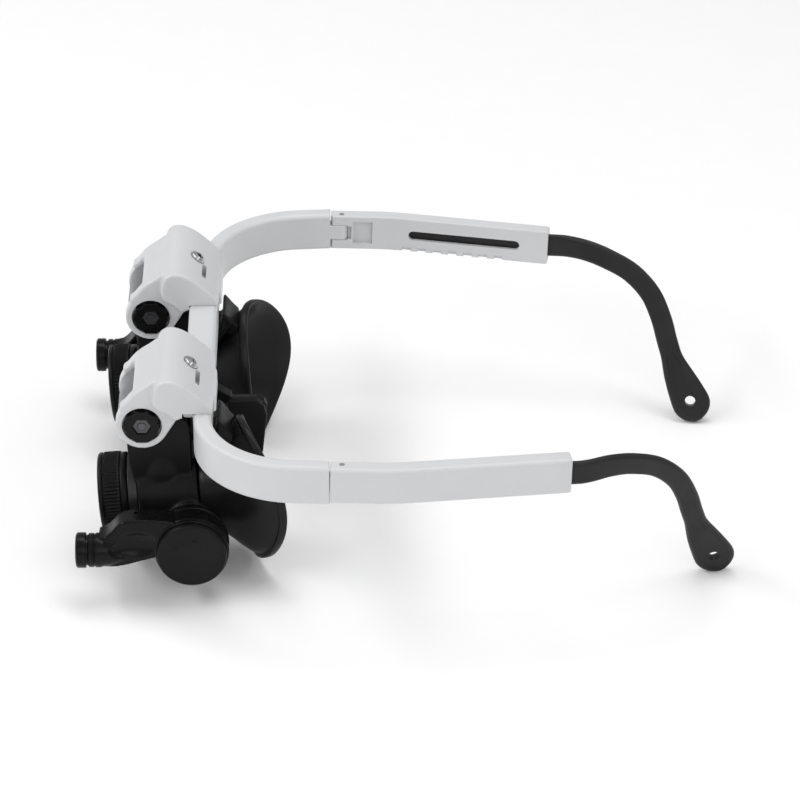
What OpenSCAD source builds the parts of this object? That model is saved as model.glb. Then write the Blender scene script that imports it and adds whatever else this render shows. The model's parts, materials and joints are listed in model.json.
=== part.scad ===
// Spectacle loupes: two flip-up magnifiers with tilting lamps on a spectacle frame.
// +Z is up, the loupes look along -Y, +X is the wearer's left.
// The layout is worked out from the temple hinge seam (y = 0) and the middle of the band,
// and at_rest() moves it so that the origin lies under the middle of the whole object.

/* [Frame] */
// Distance between the two loupe axes
pupil_distance = 62; // [60:1:64]
// Distance between the temple hinge pins
hinge_distance = 146.4; // [146:0.2:150]
// From the temple hinge seam to the front face of the bar
frame_depth = 38; // [37.6:0.2:38.4]
// Height of the frame band
band_height = 11.9; // [11.5:0.1:12.1]
// Thickness of the frame band
band_thickness = 5; // [4.8:0.1:5.2]

/* [Temples] */
// Length of the sleeve from the hinge seam
sleeve_length = 66; // [64:1:70]
// Thickness of the sleeve
sleeve_thickness = 4.8; // [4.6:0.1:5]
// Height of the sleeve
sleeve_height = 11; // [10.6:0.1:11.4]
// Angle at which the temples close in behind the bend
temple_angle = 9; // [8:0.5:10]
// Radius of the strap hole in each tip
strap_hole_r = 1.6; // [1.2:0.1:1.8]

/* [Loupes] */
// Radius of the knurled objective ring
objective_r = 11.8; // [11.6:0.1:12.2]
// Angle by which the loupes look down
declination = 4.7; // [3:0.1:6]
// Half the height of the eyecup's rim
eyecup_r = 22.1; // [20:0.1:22.4]

/* [Lamps] */
// Radius of the battery housing
lamp_r = 10.4; // [10:0.1:10.6]
// Radius of a coin cell
cell_r = 8; // [7.8:0.1:8]
// Radius of the lamp head
lamp_head_r = 5.05; // [4.8:0.05:5.2]

/* [Hidden] */
$fn = 48;

// Clearances
gap = 0.3;      // between parts that pass each other
seam = 0.1;     // half of the visible seam at the temple hinge
running = 0.05; // radial, shaft in hole
seat = 0.03;    // radial, parts fixed together

// Where the layout lies in the part's own frame
mid_y = 21.7;
floor_z = -49.35;

// Frame band
band_round = 1.3;
band_z = 0.55;
corner_r = 27.3;
corner_turn = 86.4;
bar_y = -frame_depth + band_thickness / 2;
corner_y = bar_y + corner_r;
bar_top = band_z + band_height / 2;
bar_bottom = band_z - band_height / 2;
side_length = -(corner_y - corner_r * sin(90 - corner_turn)) / cos(90 - corner_turn);
rail_front = -41;
rail_bottom = 1.4;
rail_half = 40;
pin_inset = 0.7;
seam_x = hinge_distance / 2 + pin_inset;
corner_x = seam_x - corner_r * cos(90 - corner_turn) - side_length * sin(90 - corner_turn);

// Temple hinge: a tongue on the frame between two cheeks on the sleeve
pin_x = hinge_distance / 2;
pin_y = 3.2;
pin_r = 0.75;
tongue_h = 4.6;
tongue_r = 1.9;
temple_z = 0.5;
temple_drop = 1.7;
bend_y = 18;
rear_length = (sleeve_length - bend_y) / cos(temple_angle);

// Sleeve and its cover
cover_t = 1.1;
cavity_t = 2.5;
cavity_h = 7.6;
cover_x = -sleeve_thickness / 2 + cover_t;
slot_start = 6;
slot_end = 40;
slot_h = 3;
notch_pitch = 4.7;
notch_w = 2.6;
notch_h = 1.4;
notch_start = 4.2;
notch_count = 7;
tip_inner_end = 4.5;

// Tip: section sizes and the points that its middle runs through, left side
tip_t = 2.2;
tip_h = 7.2;
paddle_t = 3;
paddle_w = 11.6;
waist = 0.45;
hole_offset = -0.8;
tip_path = [
    [66.4, 66.7, -1.6], [65.4, 71.5, -1.4], [62.6, 77.5, -1.5], [59.5, 83.7, -2.8],
    [56.3, 90.7, -5.8], [53.4, 96.4, -11.4], [50.7, 99.7, -18.4], [48.4, 101.7, -25.4],
    [46, 104.3, -33.2], [42.9, 109.1, -43.5]
];
path_steps = 3;
section_points = 16;

// Bracket, laid out around the middle of its own width
bracket_half = 16;
ear_outer = 12.5;
ear_inner = 8.8;
flip_y = -52.5;
flip_z = 0.9;
ear_r = 7.4;
barrel_r = 7;
bolt_r = 1.15;
nut_af = 4.5;
recess_r = 5.6;
recess_depth = 2.3;
knob_r = 5.2;
knob_t = 3.2;
jaw_half = 8;
screw_y = -38.7;
screw_z = 14.1;
screw_r = 1.15;
screw_head_r = 2.25;
screw_to_axis = norm([screw_y - flip_y, screw_z - flip_z]);

// Loupe train: distances forward along the axis from the loupe's middle
loupe_y = -45;
loupe_z = -27.2;
shell_r = 12.4;
tube_r = 9.5;
tube_bore_r = 8.4;
shell_back = -8;
shell_front = 9.2;
collar_r = 11.1;
collar_front = 12;
ring_back = 12.15;
ring_front = 20.4;
tube_back = -13;
tube_front = 17.6;
knurl_ribs = 60;
lug_half = 8.4;

// Lamp: distances outward along X from the middle of the object, for a pupil distance of 62
lamp_y = -39;
lamp_z = -32.3;
lamp_reach = pupil_distance / 2 - 31;
mount_x = 44.2 + lamp_reach;
housing_x = 50.2 + lamp_reach;
housing_end = 57.5 + lamp_reach;
cap_end = 59.5 + lamp_reach;
head_x = 55.3 + lamp_reach;
head_z = -32.5;
head_front = -72.3;
cell_t = 1.6;
cell_count = 2;
cavity_r = cell_r + 0.5;
floor_t = 1.2;

module at_rest() translate([0, -mid_y, -floor_z]) children();
module on_side(side) if (side > 0) children(); else mirror([1, 0, 0]) children();
module at_pupil(side) translate([side * pupil_distance / 2, 0, 0]) children();

// A rectangle with round corners, centred
module rounded_rect(w, h, r) {
    square([w, h - 2 * r], center = true);
    square([w - 2 * r, h], center = true);
    for (x = [-1, 1], y = [-1, 1])
        translate([x * (w / 2 - r), y * (h / 2 - r)]) circle(r);
}

// Extrudes a (y, z) outline along X, from x0 to x1
module along_x(x0, x1) translate([x0, 0, 0]) rotate([90, 0, 90]) linear_extrude(x1 - x0) children();

// A cylinder along X
module rod_x(r, x0, x1, fn = 48) translate([x0, 0, 0]) rotate([0, 90, 0]) cylinder(r = r, h = x1 - x0, $fn = fn);

// ---- Frame ----

// The temple's own frame at the seam: Y runs back along it
module temple_place() translate([seam_x, 0, temple_z]) rotate([-temple_drop, 0, 0]) children();
// The frame in which the tip slides: Y is the sliding direction
module slide_place() temple_place() translate([0, bend_y, 0]) rotate([0, 0, temple_angle]) children();
module at_pin() translate([pin_x - seam_x, pin_y, 0]) children();

module band_section() rounded_rect(band_thickness, band_height, band_round);

module hinge_tongue() temple_place() difference() {
    union() {
        at_pin() cylinder(r = tongue_r, h = tongue_h, center = true);
        translate([pin_x - seam_x - tongue_r, -2.5, -tongue_h / 2])
            cube([2 * tongue_r, pin_y + 2.5, tongue_h]);
    }
    at_pin() cylinder(r = pin_r + running, h = 2 * tongue_h, center = true);
}

module band_side() difference() {
    translate([corner_x, corner_y, band_z]) rotate([0, 0, corner_turn - 90]) translate([corner_r, 0, 0])
        rotate([-90, 0, 0]) linear_extrude(side_length + 2) band_section();
    translate([seam_x - 10, -seam, -20]) cube([20, 10, 40]);
}

module frame_front() color([0.85, 0.85, 0.86]) at_rest() {
    translate([0, bar_y, band_z]) along_x(-corner_x, corner_x) band_section();
    // rail that the brackets slide on
    along_x(-rail_half, rail_half) polygon([[bar_y, rail_bottom], [rail_front, rail_bottom], [rail_front, bar_top - 0.6],
        [rail_front + 0.6, bar_top], [bar_y, bar_top]]);
    for (side = [1, -1]) on_side(side) {
        translate([corner_x, corner_y, band_z]) rotate([0, 0, -90])
            rotate_extrude(angle = corner_turn, $fn = 96) translate([corner_r, 0]) band_section();
        band_side();
        hinge_tongue();
    }
    // pad under the bar that the nose bracket is screwed to
    translate([-6, bar_y - 2, bar_bottom - 1.2]) cube([12, 4, 1.4]);
}

// ---- Nose rest ----

nose_top = bar_bottom - 1.2;
nose_screw_x = 3.6;
wing_x = 1;
module at_wing() translate([wing_x, -30, -16.5]) rotate([0, -24, 0]) children();
wing_outline = [[0, 0.4], [8.6, 0.6], [10.6, -0.9], [11.4, -3.6], [10.2, -14.4], [8, -17.4], [3.4, -17.6], [1, -15], [0, -8]];

module nose_bracket() color([0.1, 0.1, 0.1]) at_rest() difference() {
    union() {
        translate([-6, bar_y - 2, nose_top - 1.6]) cube([12, 4, 1.6]);
        // stem that runs down and back, the roof and the wings that carry the pads
        along_x(-2, 2) polygon([[bar_y - 1.6, nose_top - 1.5], [bar_y + 1.6, nose_top - 1.5],
            [bar_y + 2.6, -11.5], [-28.6, -14.4], [-30, -17], [-35.2, -13.6]]);
        along_x(-wing_x - 0.9, wing_x + 0.9) polygon([[-31, -16], [-29.4, -16.1], [-21.6, -15.9],
            [-19.9, -17.2], [-20.6, -18], [-22, -17.5], [-27, -17.6], [-31, -18.2]]);
        for (side = [1, -1]) on_side(side) at_wing() along_x(0, 1.4) polygon(wing_outline);
    }
    for (x = [-nose_screw_x, nose_screw_x])
        translate([x, bar_y, nose_top - 3]) cylinder(r = 0.9, h = 4, $fn = 32);
}

module nose_screws() color("silver") at_rest()
    for (x = [-nose_screw_x, nose_screw_x]) translate([x, bar_y, nose_top]) {
        translate([0, 0, -1.6 - 0.9]) cylinder(r = 1.5, h = 0.9, $fn = 32);
        translate([0, 0, -1.7]) cylinder(r = 0.85, h = 1.7, $fn = 32);
    }

// One soft pad, on the nose's side of a wing: corners of the pad in the wing's frame
pad_r = 1.4;
pad_corners = [[1.6, -6.4], [8.8, -6], [2.6, -15.6], [8.6, -15.6]];
module nose_pad() at_wing() hull() for (c = pad_corners)
    translate([-pad_r - seat, c[0], c[1]]) sphere(r = pad_r, $fn = 24);

module nose_saddle() color([0.13, 0.13, 0.13]) at_rest()
    for (side = [1, -1]) on_side(side) nose_pad();

// ---- Bracket ----

block_outline = [
    [-48.8, 9], [-48.7, 13.3], [-47.6, 15.5], [-45.4, 16.7], [-42.7, 16.3], [-39.6, 14.6],
    [-36.4, 11.8], [-33.8, 9], [-32.7, 7.6], [-32.7, bar_top + gap],
    [rail_front - gap, bar_top + gap], [rail_front - gap, 3.6], [-42.6, 3.6], [-45, 6]
];
web_outline = [
    [-58.2, 5.6], [-56.6, 8.2], [-54.3, 11], [-51, 13.4], [-47.6, 15.3], [-42, 13],
    [rail_front - gap, 6], [-42.1, 3.6], [-46.2, -3]
];
cover_outline = [
    [-54.6, 7], [-54.6, 10.6], [-51, 13.2], [-47.6, 15.2], [-42, 13], [rail_front - gap, 6],
    [-42.1, 3.6], [-46, 3.6], [-50, 4]
];
jaw_back = -31.8;
hook_outline = [
    [-frame_depth + band_thickness + gap, 8.4], [jaw_back - 0.6, 7.8], [jaw_back, 7.2], [jaw_back, 2.4],
    [-frame_depth + band_thickness + gap, 2.4]
];

module at_flip() translate([0, flip_y, flip_z]) children();
// Z runs out of the bracket along the friction screw, from the flip axis
module at_screw() at_flip() rotate([-atan2(screw_y - flip_y, screw_z - flip_z), 0, 0]) children();

module bracket(side) color([0.93, 0.93, 0.93]) at_rest() at_pupil(side) difference() {
    union() {
        along_x(-bracket_half, bracket_half) polygon(block_outline);
        along_x(-jaw_half, jaw_half) polygon(hook_outline);
        along_x(-ear_inner - 0.1, ear_inner + 0.1) polygon(cover_outline);
        for (x = [-ear_outer, ear_inner]) {
            along_x(x, x + ear_outer - ear_inner) polygon(web_outline);
            at_flip() rod_x(ear_r, x, x + ear_outer - ear_inner);
        }
    }
    // room for the barrel, the bolt, the knob and the bolt's head
    at_flip() {
        rod_x(barrel_r + gap, -ear_inner, ear_inner);
        rod_x(bolt_r + running, -bracket_half, bracket_half);
        rod_x(recess_r, ear_outer - recess_depth, bracket_half + 1);
        rod_x(recess_r, -bracket_half - 1, -ear_outer + recess_depth);
    }
    // friction screw, its head and the shoe under it
    at_screw() {
        cylinder(r = screw_r + running, h = 30);
        cylinder(r = 1.9, h = barrel_r + 3.4);
        translate([0, 0, screw_to_axis - 0.6]) cylinder(r = screw_head_r + 0.2, h = 8);
    }
    // slit that lets the screw clamp
    translate([1.5, screw_y + 1.2, 6]) cube([7.6, 1.2, 12]);
}

module friction_screw(side) color("silver") at_rest() at_pupil(side) at_screw() difference() {
    union() {
        translate([0, 0, barrel_r + 2.6]) cylinder(r = screw_r, h = screw_to_axis - barrel_r - 3);
        translate([0, 0, screw_to_axis - 0.6]) cylinder(r = screw_head_r, h = 0.7);
        translate([0, 0, screw_to_axis + 0.1]) cylinder(r1 = screw_head_r, r2 = 1.3, h = 0.7);
    }
    for (a = [0, 90]) rotate([0, 0, a]) translate([-1.2, -0.25, screw_to_axis]) cube([2.4, 0.5, 2]);
}

module friction_shoe(side) color("goldenrod") at_rest() at_pupil(side) difference() {
    at_screw() translate([0, 0, barrel_r - 0.5]) cylinder(r = 1.8, h = 3);
    at_flip() rod_x(barrel_r + seat, -5, 5);
}

module flip_bolt(side) color("silver") at_rest() at_pupil(side) at_flip() {
    rod_x(bolt_r, -ear_outer + 1.9, ear_outer + 0.6);
    rod_x(2.75, -ear_outer + 0.2, -ear_outer + recess_depth - 0.02);
}

// A disc with ten shallow scallops in its edge
module knob_outline() difference() {
    circle(knob_r);
    for (i = [0:9]) rotate(36 * i) translate([knob_r + 3.6, 0]) circle(4.05);
}

module flip_knob(side) color([0.09, 0.09, 0.09]) at_rest() at_pupil(side) at_flip()
    translate([ear_outer - recess_depth + 0.1, 0, 0]) rotate([0, 90, 0]) difference() {
        linear_extrude(knob_t) knob_outline();
        translate([0, 0, 1.1]) rotate(30) cylinder(r = nut_af / 2 / cos(30) + seat, h = 4, $fn = 6);
        cylinder(r = bolt_r + 0.1, h = 10, center = true);
    }

module flip_nut(side) color("silver") at_rest() at_pupil(side) at_flip()
    translate([ear_outer - recess_depth + 1.22, 0, 0]) rotate([0, 90, 0]) difference() {
        rotate(30) cylinder(r = nut_af / 2 / cos(30), h = 1.6, $fn = 6);
        cylinder(r = bolt_r + running, h = 10, center = true);
    }

// ---- Loupe ----

// Z runs forward along the loupe's axis, Y up, from the loupe's middle
module at_loupe(side) at_pupil(side) translate([0, loupe_y, loupe_z]) rotate([90 + declination, 0, 0]) children();
module ring(outer, inner, z0, z1) translate([0, 0, z0]) difference() {
    cylinder(r = outer, h = z1 - z0);
    translate([0, 0, -1]) cylinder(r = inner, h = z1 - z0 + 2);
}

module flip_barrel(side) color([0.62, 0.62, 0.64]) at_rest() at_pupil(side) at_flip() difference() {
    rod_x(barrel_r, -ear_inner + 0.2, ear_inner - 0.2);
    rod_x(bolt_r + running, -20, 20);
}

lug_outline = [
    [-57.5, -3.2], [-45.9, 0.8], [-41.6, 0.8], [-40.2, 0.1], [-39.4, -1.6], [-39.2, -20],
    [-43, -26], [-54, -26], [-56.8, -14]
];

shelf_half = 6.4;
shelf_outline = [
    [-42, -14], [-29, -14], [-28.8, -4.7], [-30.9, -1.9], [-31.5, -1.5], [-31.9, -1.9], [-31.9, -6.3],
    [-32.8, -7.2], [-40, -7.2]
];

// Room for the eyecup behind the carrier, a cone for each step of the cup's skin
cup_gap = 0.3;
module cup_room(t0, t1) let (depth = rim_nasal - cup_back) translate([0, 0, cup_back + depth * t1 - 0.01])
    cylinder(r1 = cup_height(t1) + cup_gap, r2 = cup_height(t0) + cup_gap, h = depth * (t0 - t1) + 0.02);

module loupe_carrier(side) color([0.07, 0.07, 0.07]) at_rest() difference() {
    union() {
        at_pupil(side) along_x(-lug_half, lug_half) polygon(lug_outline);
        at_pupil(side) along_x(-shelf_half, shelf_half) polygon(shelf_outline);
        at_loupe(side) translate([0, 0, shell_back]) cylinder(r = shell_r, h = shell_front - shell_back);
        // boss that the lamp's mount is screwed to
        on_side(side) translate([0, lamp_y, lamp_z]) rod_x(6.5, pupil_distance / 2 + 6, mount_x - seat);
    }
    at_pupil(side) at_flip() rod_x(barrel_r + seat, -ear_outer, ear_outer);
    at_loupe(side) translate([0, 0, -30]) cylinder(r = tube_r + seat, h = 60);
    at_loupe(side) translate([0, 0, shell_front]) cylinder(r = collar_r + seat, h = 20);
    at_loupe(side) for (k = [1:cup_steps]) cup_room((k - 1) / cup_steps, k / cup_steps);
    on_side(side) translate([0, lamp_y, lamp_z]) rod_x(bolt_r + seat, mount_x - 5, mount_x + 5);
}

module loupe_tube(side) color([0.1, 0.1, 0.1]) at_rest() at_loupe(side)
    ring(tube_r, tube_bore_r, tube_back, tube_front);

module tube_collar(side) color([0.3, 0.3, 0.3]) at_rest() at_loupe(side)
    ring(collar_r, tube_r + seat, shell_front + 0.1, collar_front);

// The knurled edge: shallow ribs all round
module knurl_outline() polygon([for (i = [0:2 * knurl_ribs - 1])
    let (a = 180 * i / knurl_ribs, r = objective_r - (i % 2) * 0.35) r * [cos(a), sin(a)]]);

module objective_ring(side) color([0.12, 0.12, 0.12]) at_rest() at_loupe(side) difference() {
    union() {
        translate([0, 0, ring_back + 2]) linear_extrude(ring_front - ring_back - 3.2) knurl_outline();
        translate([0, 0, ring_back]) cylinder(r = objective_r - 0.2, h = ring_front - ring_back);
    }
    translate([0, 0, 0]) cylinder(r = tube_r + running, h = tube_front + 0.2);
    cylinder(r = 7.9, h = 40);
    translate([0, 0, tube_front + 0.6]) cylinder(r = 9.2, h = 10);
}

// A glass disc with a domed front, t thick at its edge
lens_steps = 6;
module lens(r, t, z, dome) translate([0, 0, z]) rotate_extrude() polygon(concat([[0, 0], [r, 0]],
    [for (i = [lens_steps:-1:0]) let (x = r * i / lens_steps) [x, t + sqrt(dome * dome - x * x)
        - sqrt(dome * dome - r * r)]]));

module objective_lens(side) color([0.75, 0.85, 0.9, 0.5]) at_rest() at_loupe(side)
    lens(9.1, 0.7, tube_front + 0.65, 60);

module eye_lens(side) color([0.75, 0.85, 0.9, 0.5]) at_rest() at_loupe(side)
    lens(tube_bore_r - seat, 1.6, tube_back + 1, 45);

// Eyecup: a soft oval cup whose rim reaches further back on the temple side.
// A station is [half height, half width, shift outward, distance forward]. The wall's section
// is a loop of stations, out along the skin and back along the lining.
cup_wall = 1.5;
cup_steps = 8;
cup_points = 36;
cup_start_r = 12;
cup_back = -8.2;
neck_back = -12.4;
neck_r = tube_r + 0.08;
cup_half_w = 16.6;
cup_shift = 2.4;
rim_nasal = -21.8;
rim_wing = -11;
function smooth(t) = let (u = max(0, min(1, t))) u * u * (3 - 2 * u);
function spread(t) = smooth((t - 0.05) / 0.8);
function cup_rim(a) = rim_nasal + rim_wing * pow((1 + cos(a)) / 2, 3.1);
function cup_height(t) = cup_start_r + (eyecup_r - cup_start_r) * spread(t);
function skin_at(t, a) = let (s = spread(t)) [cup_height(t),
    cup_start_r + (cup_half_w - cup_start_r) * s, cup_shift * s, cup_back + (cup_rim(a) - cup_back) * t];
function lining_at(t, a) = let (p = skin_at(t, a)) [max(neck_r, p[0] - cup_wall), max(neck_r, p[1] - cup_wall), p[2],
    min(neck_back - 0.5 - t, p[3])];
function wall_loop(a) = concat(
    [for (k = [0:cup_steps]) skin_at(k / cup_steps, a)],
    [for (k = [cup_steps:-1:1]) lining_at(k / cup_steps, a)],
    [[neck_r, neck_r, 0, neck_back], [neck_r, neck_r, 0, cup_back]]
);
cup_stations = len(wall_loop(0));
cup_vertices = [for (i = [0:cup_points - 1]) let (a = 360 * i / cup_points)
    for (p = wall_loop(a)) [p[2] + p[1] * cos(a), p[0] * sin(a), p[3]]];
cup_faces = [for (i = [0:cup_points - 1], k = [0:cup_stations - 1]) let (
    j = (i + 1) % cup_points, m = (k + 1) % cup_stations
) [i * cup_stations + k, i * cup_stations + m, j * cup_stations + m, j * cup_stations + k]];

module eyecup(side) color([0.12, 0.12, 0.12]) at_rest() at_loupe(side) on_side(side)
    polyhedron(points = cup_vertices, faces = cup_faces, convexity = 6);

// ---- Lamp ----

module at_lamp(side) on_side(side) translate([0, lamp_y, lamp_z]) children();

module lamp_mount(side) color([0.07, 0.07, 0.07]) at_rest() at_lamp(side) difference() {
    union() {
        rod_x(lamp_r - 1.6, mount_x, mount_x + 1.3);
        rod_x(lamp_r - 0.2, mount_x + 1.2, housing_x - 0.2);
    }
    rod_x(bolt_r + seat, mount_x - 1, housing_x + 1);
}

module lamp_screw(side) color("silver") at_rest() at_lamp(side) {
    rod_x(bolt_r, mount_x - 4.5, housing_x + floor_t + 0.1);
    rod_x(2.4, housing_x + floor_t + 0.05, housing_x + floor_t + 0.95);
}

arm_outline = [
    [-40, 9.4], [-48, 10.3], [-56.8, 10.1], [-59.2, 9.2], [-61.6, 6.4], [-64.6, 4.7],
    [-64.6, -4.6], [-60.8, -4.8], [-57, -4], [-53, -2.8], [-48, -1.6], [-40, 0]
];
arm_inner = 50.3 + lamp_reach;
arm_outer = 57.2 + lamp_reach;

module lamp_housing(side) color([0.08, 0.08, 0.08]) at_rest() difference() {
    union() {
        at_lamp(side) rod_x(lamp_r, housing_x, housing_end);
        on_side(side) translate([0, 0, lamp_z]) along_x(arm_inner, arm_outer) polygon(arm_outline);
        on_side(side) translate([head_x, head_front + 4.3, head_z]) rotate([-90, 0, 0])
            cylinder(r = lamp_head_r - 0.2, h = 3.4);
        on_side(side) translate([head_x, head_front + 7.6, head_z]) rotate([-90, 0, 0])
            cylinder(r = 3.6, h = 3);
    }
    at_lamp(side) {
        rod_x(cavity_r, housing_x + floor_t, housing_end + 5);
        rod_x(bolt_r + running, housing_x - 5, housing_x + 5);
    }
    // bore for the lamp's emitter
    on_side(side) translate([head_x, head_front, head_z]) rotate([-90, 0, 0]) cylinder(r = 2.6, h = 8.4);
}

module lamp_head(side) color([0.08, 0.08, 0.08]) at_rest() on_side(side)
    translate([head_x, head_front + 0.8, head_z]) rotate([-90, 0, 0]) difference() {
        union() {
            cylinder(r = lamp_head_r, h = 2.9);
            cylinder(r = lamp_head_r - 0.7, h = 3.4);
        }
        translate([0, 0, -1]) cylinder(r = 2.6, h = 10);
        translate([0, 0, -1]) cylinder(r = 3.4, h = 1.6);
    }

module led(side) color([0.9, 0.92, 0.95]) at_rest() on_side(side)
    translate([head_x, head_front + 3.5, head_z]) rotate([-90, 0, 0]) {
        cylinder(r = 2.5, h = 4);
        intersection() {
            sphere(r = 2.5, $fn = 48);
            translate([0, 0, -5]) cylinder(r = 4, h = 5.1);
        }
    }

module battery_cells(side) color("silver") at_rest() at_lamp(side)
    for (i = [0:cell_count - 1]) {
        translate([housing_x + floor_t + 1.5 + i * (cell_t + 0.02), 0, 0]) rod_x(cell_r, 0, cell_t);
    }

module battery_spring(side) color("gold") at_rest() at_lamp(side)
    rod_x(5.5, housing_x + floor_t + 1, housing_x + floor_t + 1.45);

module battery_cap(side) color([0.1, 0.1, 0.1]) at_rest() at_lamp(side) difference() {
    union() {
        rod_x(lamp_r - 0.6, housing_end + 0.05, cap_end);
        rod_x(cavity_r - 0.1, housing_end - 1, housing_end + 0.1);
    }
    // coin slot, and two marks for open and shut
    translate([cap_end - 0.6, -4.2, -0.6]) cube([1, 8.4, 1.2]);
    for (a = [60, 120]) rotate([a, 0, 0]) translate([cap_end - 0.25, 7, 0]) rotate([0, 90, 0])
        cylinder(r = 1, h = 1, $fn = 3);
}

// ---- Temple ----

// Plan of one straight stretch of the sleeve
module sleeve_plan() {
    t = sleeve_thickness / 2;
    k = tan(temple_angle / 2) * t;
    rear = [bend_y + rear_length * cos(temple_angle), rear_length * sin(temple_angle)];
    side_x = t * cos(temple_angle);
    side_y = t * sin(temple_angle);
    polygon([[-t, seam], [t, seam], [t, bend_y + k], [side_x - rear[1], rear[0] + side_y],
        [-side_x - rear[1], rear[0] - side_y], [-t, bend_y - k]]);
}

module temple_sleeve(side) color([0.9, 0.9, 0.9]) at_rest() on_side(side) difference() {
    temple_place() translate([0, 0, -sleeve_height / 2]) linear_extrude(sleeve_height) sleeve_plan();
    // fork for the tongue, the pin, and the inner corner that swings past the frame
    temple_place() {
        translate([-5, -1, -tongue_h / 2 - 0.15])
            cube([5 - pin_inset + tongue_r + 0.15, pin_y + tongue_r + gap + 1, tongue_h + 0.3]);
        at_pin() cylinder(r = pin_r + seat, h = 2 * sleeve_height, center = true);
        translate([-sleeve_thickness / 2 - 1, -1, -sleeve_height]) difference() {
            cube([sleeve_thickness / 2 + 1 + pin_x - seam_x, pin_y + 1, 2 * sleeve_height]);
            translate([sleeve_thickness / 2 + 1 + pin_x - seam_x, pin_y + 1, -1])
                cylinder(r = pin_y - seam, h = 3 * sleeve_height);
        }
        // shallow square recess on the inner face
        translate([-sleeve_thickness / 2 - 1, 6.6, -3.75]) cube([1.4, 6.1, 7.5]);
        // slot behind the fork
        translate([-sleeve_thickness / 2 - 1, 4.6, -2.3]) cube([2.4, 1.6, 4.6]);
    }
    slide_place() {
        // seat of the inner cover, and the channel of the tip
        translate([-sleeve_thickness, 1.2, -sleeve_height]) cube([sleeve_thickness + cover_x, 80, 2 * sleeve_height]);
        translate([cover_x - 1, 3, -cavity_h / 2]) cube([cavity_t + 1, 80, cavity_h]);
    }
}

module sleeve_cover(side) color([0.92, 0.92, 0.92]) at_rest() on_side(side) slide_place() difference() {
    translate([-sleeve_thickness / 2, 1.25, -sleeve_height / 2])
        cube([cover_t - 0.02, rear_length - 1.25, sleeve_height]);
    // long slot that shows the tip
    translate([-sleeve_thickness, slot_start + slot_h / 2, -slot_h / 2])
        cube([2 * sleeve_thickness, slot_end - slot_start - slot_h, slot_h]);
    for (y = [slot_start + slot_h / 2, slot_end - slot_h / 2])
        translate([0, y, 0]) rod_x(slot_h / 2, -10, 10);
    // notches along the lower edge
    for (i = [0:notch_count - 1])
        translate([-sleeve_thickness, notch_start + notch_pitch * i, -sleeve_height / 2 - 1])
            cube([2 * sleeve_thickness, notch_w, notch_h + 1]);
}

module hinge_pin(side) color("silver") at_rest() on_side(side) temple_place() at_pin()
    cylinder(r = pin_r, h = sleeve_height, center = true);

// Smooth curve through the path's points
function spline(a, b, c, d, t) = 0.5 * ((2 * b) + (c - a) * t + (2 * a - 5 * b + 4 * c - d) * t * t
    + (3 * b - 3 * c + d - a) * t * t * t);
path_last = len(tip_path) - 1;
function path_at(i) = tip_path[max(0, min(path_last, i))];
tip_line = concat([for (i = [0:path_last - 1], s = [0:path_steps - 1])
    spline(path_at(i - 1), path_at(i), path_at(i + 1), path_at(i + 2), s / path_steps)], [tip_path[path_last]]);
line_last = len(tip_line) - 1;
function unit(v) = v / norm(v);
function line_at(i) = tip_line[max(0, min(line_last, i))];
function heading(i) = unit(line_at(i + 1) - line_at(i - 1));
// Thickness runs across the temple, width runs in its side plane
function across(t) = unit([1, 0, 0] - t[0] * t);

paddle_dir = unit(tip_path[path_last] - tip_path[path_last - 2]);
paddle_across = across(paddle_dir);
paddle_r = paddle_w / 2;

// Half width and half thickness along the line, from 0 at the sleeve to 1 at the strap hole
function half_width(t) = tip_h / 2 - waist * smooth(t / 0.6)
    + (paddle_r + waist - tip_h / 2) * smooth((t - 0.82) / 0.18);
function half_thickness(t) = tip_t / 2 + (paddle_t - tip_t) / 2 * smooth((t - 0.55) / 0.3);

// One ring: a flat oblong with half-round edges
end_points = section_points / 2;
function section(centre, dir, hw, ht) = let (b = across(dir), w = cross(dir, b))
    [for (e = [1, -1], j = [0:end_points - 1]) let (a = -90 + 180 * j / (end_points - 1))
        centre + e * (hw - ht + ht * cos(a)) * w + e * ht * sin(a) * b];

sleeve_dir = (slide_point([0, 1, 0]) - slide_point([0, 0, 0]));
function temple_point(p) = [p[0] + seam_x, p[1] * cos(temple_drop) + p[2] * sin(temple_drop),
    -p[1] * sin(temple_drop) + p[2] * cos(temple_drop) + temple_z];
function slide_point(p) = temple_point([p[0] * cos(temple_angle) - p[1] * sin(temple_angle),
    p[0] * sin(temple_angle) + p[1] * cos(temple_angle) + bend_y, p[2]]);

cap_steps = 5;
tip_rings = concat(
    [section(slide_point([0, tip_inner_end, 0]), sleeve_dir, tip_h / 2, tip_t / 2),
     section(slide_point([0, rear_length - 0.5, 0]), sleeve_dir, tip_h / 2, tip_t / 2)],
    [for (i = [2:line_last]) section(line_at(i), heading(i), half_width(i / line_last), half_thickness(i / line_last))],
    [for (k = [1:cap_steps]) let (a = 86 * k / cap_steps)
        section(tip_line[line_last] + paddle_dir * paddle_r * sin(a), paddle_dir,
            max(paddle_r * cos(a), paddle_t / 2 + 0.05), paddle_t / 2)]
);
ring_count = len(tip_rings);
tip_faces = concat(
    [[for (j = [0:section_points - 1]) j]],
    [for (i = [0:ring_count - 2], j = [0:section_points - 1]) let (k = (j + 1) % section_points)
        [i * section_points + j, (i + 1) * section_points + j, (i + 1) * section_points + k, i * section_points + k]],
    [[for (j = [0:section_points - 1]) (ring_count - 1) * section_points + section_points - 1 - j]]
);

module temple_tip(side) color([0.16, 0.16, 0.16]) at_rest() on_side(side) difference() {
    polyhedron(points = [for (r = tip_rings) each r], faces = tip_faces, convexity = 8);
    translate(tip_path[path_last] + hole_offset * paddle_dir)
        rotate([0, acos(paddle_across[2]), atan2(paddle_across[1], paddle_across[0])])
            cylinder(r = strap_hole_r, h = 20, center = true);
}

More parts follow.
